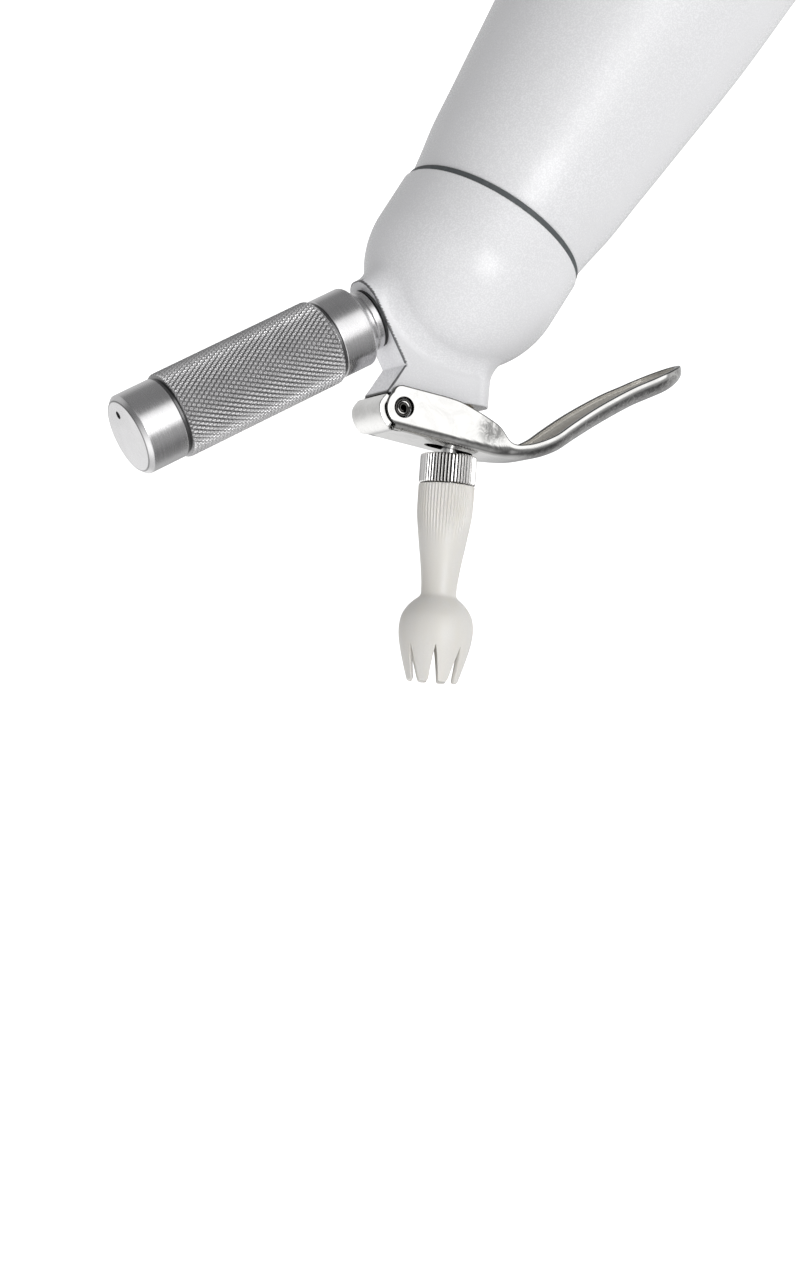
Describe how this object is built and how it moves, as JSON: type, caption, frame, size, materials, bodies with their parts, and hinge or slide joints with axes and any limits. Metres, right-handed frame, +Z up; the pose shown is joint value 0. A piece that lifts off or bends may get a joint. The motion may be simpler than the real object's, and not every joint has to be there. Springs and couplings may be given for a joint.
{
  "type": "whipped cream dispenser",
  "caption": "Whipped cream dispenser: coated bottle, domed head with squeeze lever, knurled charger holder and tulip nozzle on the two slanted ports.",
  "frame": {"origin": "centre of the bottle's flat bottom, on the surface it stands on", "axes": "+Z up along the bottle's axis, +X towards the charger port, -X towards the lever's finger end; the two ports lie in the plane Y = 0"},
  "size_m": [0.1425, 0.0834, 0.2781],
  "materials": {
    "bottle_coat": "satin white coat, finely textured",
    "head_coat": "satin white coat, finely textured",
    "grey_rubber": "matt dark grey",
    "black_rubber": "matt black",
    "lever_steel": "polished pressed sheet",
    "stem_steel": "turned and polished",
    "spring_steel": "dark spring steel",
    "turned_aluminium": "turned and knurled",
    "brass": "turned",
    "charger_steel": "zinc plated",
    "ivory_plastic": "moulded, slightly glossy"
  },
  "bodies": {
    "bottle": {"bottle": "bottle_coat"},
    "head_gasket": {"head_gasket": "grey_rubber"},
    "head": {"head_casting": "head_coat", "valve_guide_bush": "brass", "stem_o_ring": "black_rubber", "lever_pin": "spring_steel", "charger_adapter": "turned_aluminium", "adapter_washer": "black_rubber", "piercing_pin": "stem_steel", "charger_gasket": "black_rubber", "check_valve_disc": "black_rubber", "check_valve_plug": "brass", "valve_spring": "stem_steel"},
    "gas_charger": {"gas_charger": "charger_steel"},
    "charger_holder": {"charger_holder": "turned_aluminium"},
    "lever": {"lever": "lever_steel"},
    "valve_stem": {"valve_stem": "stem_steel", "valve_head": "brass", "valve_seal": "black_rubber", "stem_flange": "stem_steel", "flange_clip": "spring_steel"},
    "adapter_seal": {"adapter_seal": "black_rubber"},
    "nozzle": {"nozzle_adapter": "turned_aluminium", "nozzle_tip": "ivory_plastic"}
  },
  "joints": [
    {"name": "head_lift", "type": "slide", "parent": "bottle", "child": "head_gasket", "axis": [0, 0, 1], "range_m": [0, 0.0124]},
    {"name": "head_turn", "type": "hinge", "parent": "head_gasket", "child": "head", "pos_m": [0, 0, 0.152], "axis": [0, 0, 1], "range_deg": [0, 990]},
    {"name": "charger_feed", "type": "slide", "parent": "head", "child": "gas_charger", "axis": [0.4886, 0, 0.8725], "range_m": [0, 0.01]},
    {"name": "holder_turn", "type": "hinge", "parent": "gas_charger", "child": "charger_holder", "pos_m": [0, 0, 0.1676], "axis": [0.4886, 0, 0.8725], "range_deg": [0, 2406]},
    {"name": "lever_pull", "type": "hinge", "parent": "head", "child": "lever", "pos_m": [-0.00369, 0, 0.21573], "axis": [0, -1, 0], "range_deg": [0, 8], "stiffness_Nm_per_rad": 1, "springref_deg": -17.19},
    {"name": "stem_slide", "type": "slide", "parent": "head", "child": "valve_stem", "axis": [0.4886, 0, -0.8725], "range_m": [0, 0.00245], "deforming": ["valve_spring"]},
    {"name": "seal_lift", "type": "slide", "parent": "valve_stem", "child": "adapter_seal", "axis": [-0.4886, 0, 0.8725], "range_m": [0, 0.00825]},
    {"name": "nozzle_turn", "type": "hinge", "parent": "adapter_seal", "child": "nozzle", "pos_m": [0, 0, 0.1676], "axis": [-0.4886, 0, 0.8725], "range_deg": [0, 2383]}
  ],
  "couplings": [
    {"joint": "head_lift", "follows": "head_turn", "m_per_rad": 0.0007162},
    {"joint": "holder_turn", "follows": "charger_feed", "rad_per_m": 4188.8},
    {"joint": "stem_slide", "follows": "lever_pull", "m_per_rad": 0.0174},
    {"joint": "nozzle_turn", "follows": "seal_lift", "rad_per_m": 5026.6}
  ]
}
